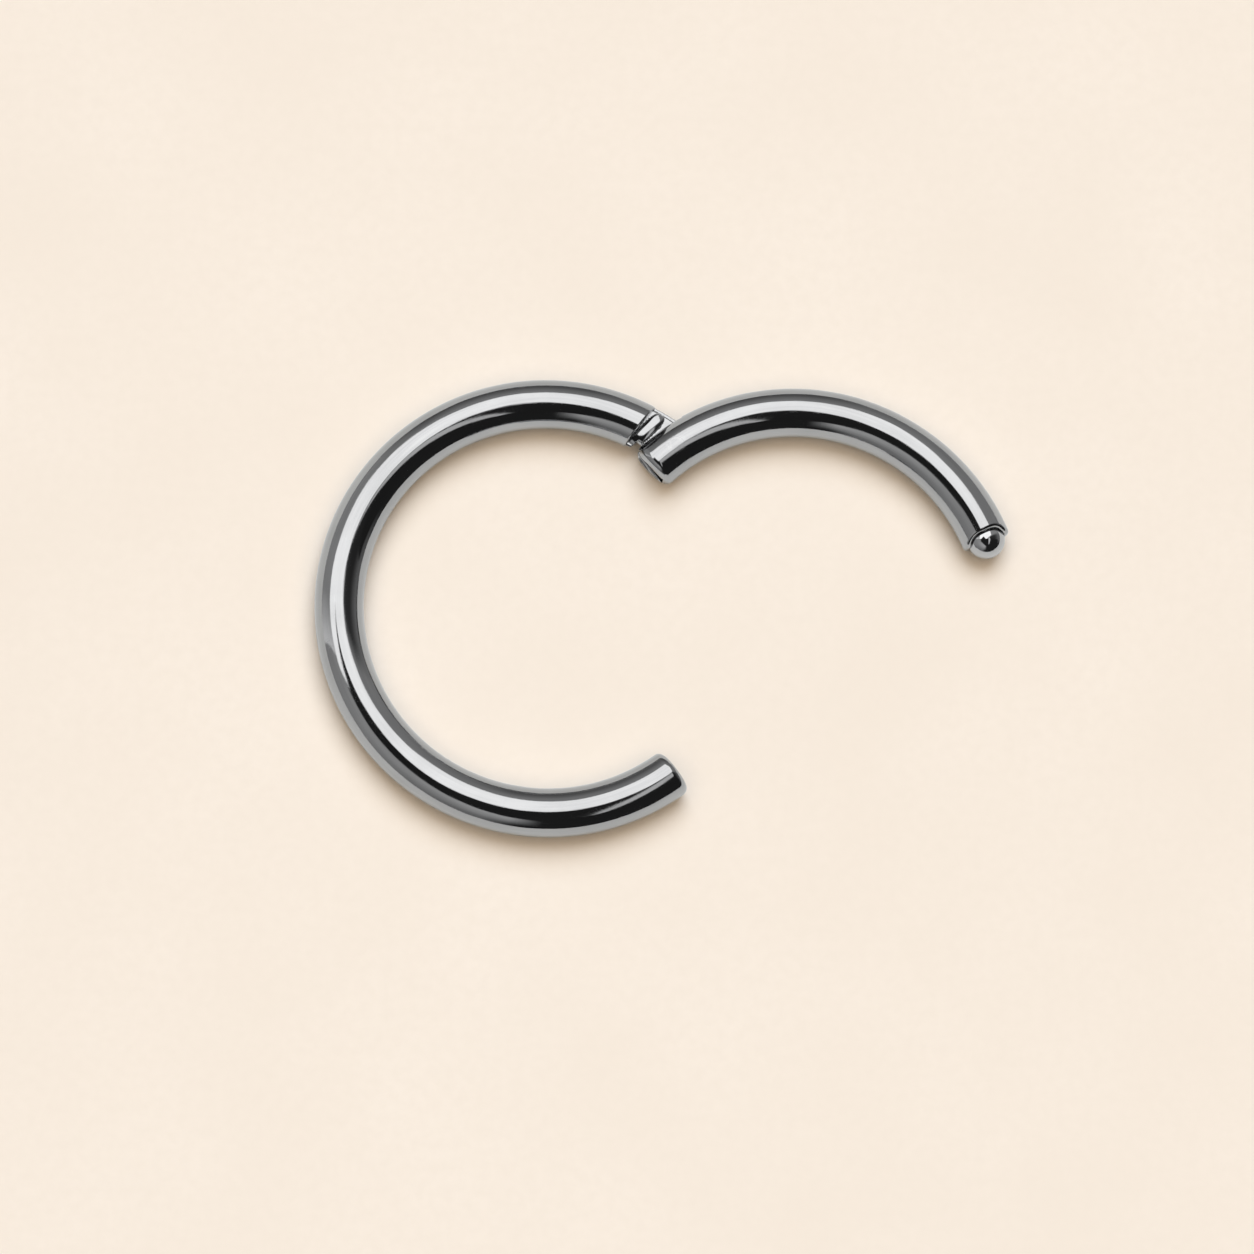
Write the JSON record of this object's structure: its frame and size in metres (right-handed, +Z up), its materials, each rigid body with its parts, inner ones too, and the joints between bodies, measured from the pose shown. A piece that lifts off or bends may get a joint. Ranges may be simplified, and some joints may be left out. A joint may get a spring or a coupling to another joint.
{
  "type": "hinged segment ring",
  "caption": "Round-wire body ring with a hinged segment that swings out on a pin and clicks shut on a small ball, shown open.",
  "frame": {"origin": "centre of the ring's long curve, on the surface that the ring lies on", "axes": "+Z up along the hinge pin and the ring's axis; +X from the ring's centre towards the swung-out segment"},
  "size_m": [0.0228, 0.0152, 0.0016],
  "materials": {
    "polished_steel": "mirror polished surgical steel",
    "ball_steel": "mirror polished steel ball"
  },
  "bodies": {
    "ring": {"ring_body": "polished_steel"},
    "segment": {"swing_segment": "polished_steel", "hinge_pin": "polished_steel", "clicker_ball": "ball_steel"}
  },
  "joints": [
    {"name": "segment_hinge", "type": "hinge", "parent": "ring", "child": "segment", "pos_m": [0.00422, 0.00533, 0.0008], "axis": [0, 0, 1], "range_deg": [-73.5, 16.5]}
  ]
}
